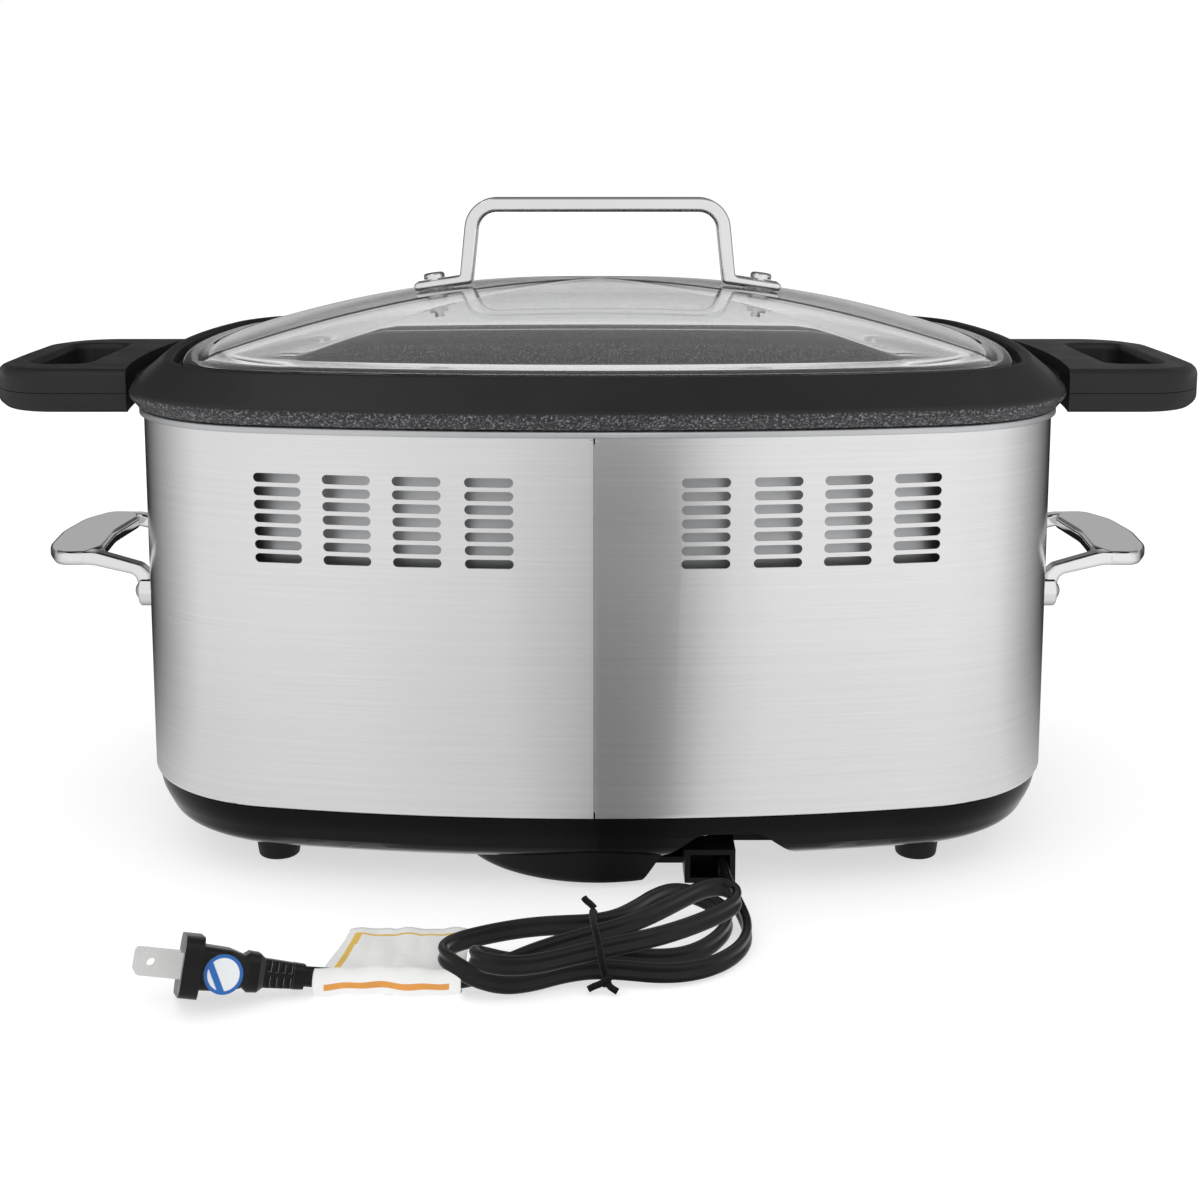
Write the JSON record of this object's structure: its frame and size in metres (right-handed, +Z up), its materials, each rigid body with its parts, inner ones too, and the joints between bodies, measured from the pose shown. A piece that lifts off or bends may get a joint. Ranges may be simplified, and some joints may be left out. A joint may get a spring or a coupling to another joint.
{
  "type": "slow cooker",
  "caption": "Countertop slow cooker: steel-cased heating base, lift-out cast pot with side grips, domed glass lid, front keypad and a folded mains lead.",
  "frame": {"origin": "on the table, under the middle of the cooker", "axes": "+Z up, +X along the long side, -Y out of the back with the vents and the lead, +Y out of the front with the keys"},
  "size_m": [0.4812, 0.3681, 0.247],
  "materials": {
    "brushed_steel": "brushed",
    "liner_steel": "satin",
    "black_gloss_plastic": "gloss",
    "black_plastic": "matte",
    "grip_plastic": "satin",
    "white_plastic": "matte",
    "clear_plastic": "clear",
    "sheet_steel": "plain",
    "chrome": "polished",
    "polished_steel": "polished",
    "rubber": "matte",
    "cord_rubber": "satin",
    "pot_coating": "speckled non-stick coating",
    "cast_aluminium": "cast",
    "glass": "clear",
    "display_glass": "dark",
    "lcd": "grey-green",
    "circuit_board": "solder mask",
    "ceramic": "plain",
    "paper": "plain",
    "sticker": "gloss",
    "brass": "plain"
  },
  "bodies": {
    "heating_base": {"outer_shell": "brushed_steel", "seam_strip": "sheet_steel", "heating_well": "liner_steel", "base_moulding": "black_gloss_plastic", "bottom_pan": "sheet_steel", "cord_hub": "black_plastic", "foot_back_left": "rubber", "foot_back_right": "rubber", "foot_front_left": "rubber", "foot_front_right": "rubber", "foot_screws": "sheet_steel", "side_handle_left": "chrome", "side_handle_right": "chrome", "side_handle_discs": "chrome", "side_handle_rivets": "chrome", "heater_plate": "cast_aluminium", "heating_element": "sheet_steel", "terminal_insulators": "ceramic", "sensor_bridge": "sheet_steel", "sensor_spring": "sheet_steel", "thermal_fuse": "cast_aluminium", "fuse_clip": "sheet_steel", "power_board": "circuit_board", "relay": "black_plastic", "capacitor": "white_plastic", "terminal_block": "white_plastic", "inner_wiring": "cord_rubber", "control_bezel": "black_gloss_plastic", "display_window": "display_glass", "display_module": "lcd", "control_board": "circuit_board", "key_switches": "black_plastic", "control_tray": "white_plastic", "cord_outlet": "black_plastic", "cord_lead": "cord_rubber", "cord_hank": "cord_rubber", "cord_end": "cord_rubber", "twist_tie": "black_plastic", "cord_tag": "paper", "plug_body": "cord_rubber", "plug_relief": "cord_rubber", "plug_blades": "brass", "plug_sticker": "sticker"},
    "pot": {"cooking_pot": "pot_coating", "pot_handle_left_upper": "grip_plastic", "pot_handle_left_lower": "grip_plastic", "pot_handle_right_upper": "grip_plastic", "pot_handle_right_lower": "grip_plastic", "pot_handle_screws": "sheet_steel"},
    "lid": {"lid_glass": "glass", "lid_handle": "polished_steel", "lid_screws": "polished_steel", "lid_washers": "clear_plastic", "lid_nuts": "polished_steel"},
    "sensor": {"temp_sensor": "cast_aluminium"},
    "power_button": {"power_button": "chrome"},
    "program_button": {"program_button": "chrome"},
    "heat_button": {"heat_button": "chrome"},
    "time_down_button": {"time_down_button": "chrome"},
    "time_up_button": {"time_up_button": "chrome"}
  },
  "joints": [
    {"name": "pot_lift", "type": "slide", "parent": "heating_base", "child": "pot", "axis": [0, 0, 1], "range_m": [0, 0.17]},
    {"name": "lid_lift", "type": "slide", "parent": "pot", "child": "lid", "axis": [0, 0, 1], "range_m": [0, 0.09]},
    {"name": "sensor_press", "type": "slide", "parent": "heating_base", "child": "sensor", "axis": [0, 0, -1], "range_m": [0, 0.002], "stiffness_N_per_m": 400, "deforming": ["sensor_spring"]},
    {"name": "power_button_press", "type": "slide", "parent": "heating_base", "child": "power_button", "axis": [0, -1, 0], "range_m": [0, 0.0008], "stiffness_N_per_m": 600},
    {"name": "program_button_press", "type": "slide", "parent": "heating_base", "child": "program_button", "axis": [0, -1, 0], "range_m": [0, 0.0008], "stiffness_N_per_m": 600},
    {"name": "heat_button_press", "type": "slide", "parent": "heating_base", "child": "heat_button", "axis": [0, -1, 0], "range_m": [0, 0.0008], "stiffness_N_per_m": 600},
    {"name": "time_down_button_press", "type": "slide", "parent": "heating_base", "child": "time_down_button", "axis": [0, -1, 0], "range_m": [0, 0.0008], "stiffness_N_per_m": 600},
    {"name": "time_up_button_press", "type": "slide", "parent": "heating_base", "child": "time_up_button", "axis": [0, -1, 0], "range_m": [0, 0.0008], "stiffness_N_per_m": 600}
  ]
}
